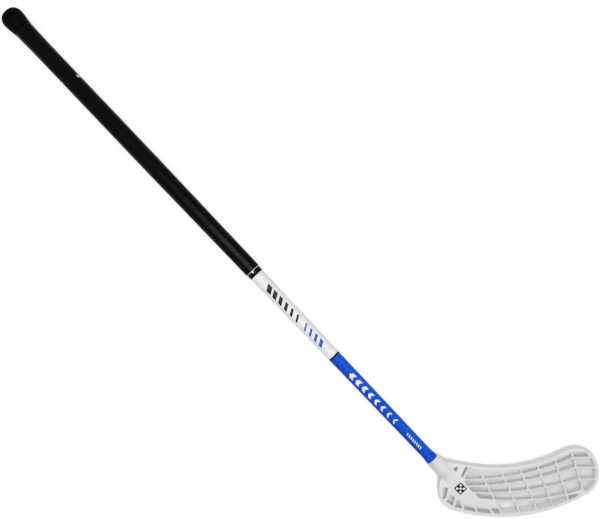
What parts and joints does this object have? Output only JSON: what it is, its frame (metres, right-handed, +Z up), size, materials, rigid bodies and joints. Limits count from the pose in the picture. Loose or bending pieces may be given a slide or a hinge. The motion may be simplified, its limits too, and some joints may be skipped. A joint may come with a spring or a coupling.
{
  "type": "floorball stick",
  "caption": "Floorball stick: tapered hollow shaft with a wound grip and end knob, and a curved lattice blade with a socket, glued and screwed on its lower end.",
  "frame": {"origin": "on the floor, under the centre of the box round the stick as it lies on knob, heel and toe", "axes": "+X along the shaft from the butt end to the blade, +Y to the side the toe points to, +Z up"},
  "size_m": [1.1256, 0.217, 0.0338],
  "materials": {
    "composite": "satin, wound glass-fibre composite",
    "knob_rubber": "matt moulded rubber",
    "grip": "soft satin polyurethane tape",
    "black_tape": "satin vinyl",
    "white_print": "glossy film",
    "black_print": "glossy film",
    "blue_print": "glossy film",
    "blue_collar": "soft moulded plastic",
    "blade_white": "satin moulded polyethylene",
    "inner_plastic": "moulded",
    "hot_melt": "hot-melt adhesive",
    "screw_steel": "zinc plated",
    "label": "glossy film"
  },
  "bodies": {
    "root": {"shaft_tube": "composite", "butt_plug": "inner_plastic", "end_knob": "knob_rubber", "grip_tape": "grip", "grip_end_tape": "black_tape", "white_film": "white_print", "trim_ring": "black_print", "blue_film": "blue_print", "joint_collar": "blue_collar", "socket_glue": "hot_melt", "shaft_end_plug": "inner_plastic", "blade_screws": "screw_steel", "blade": "blade_white", "blade_label": "label"}
  },
  "joints": []
}
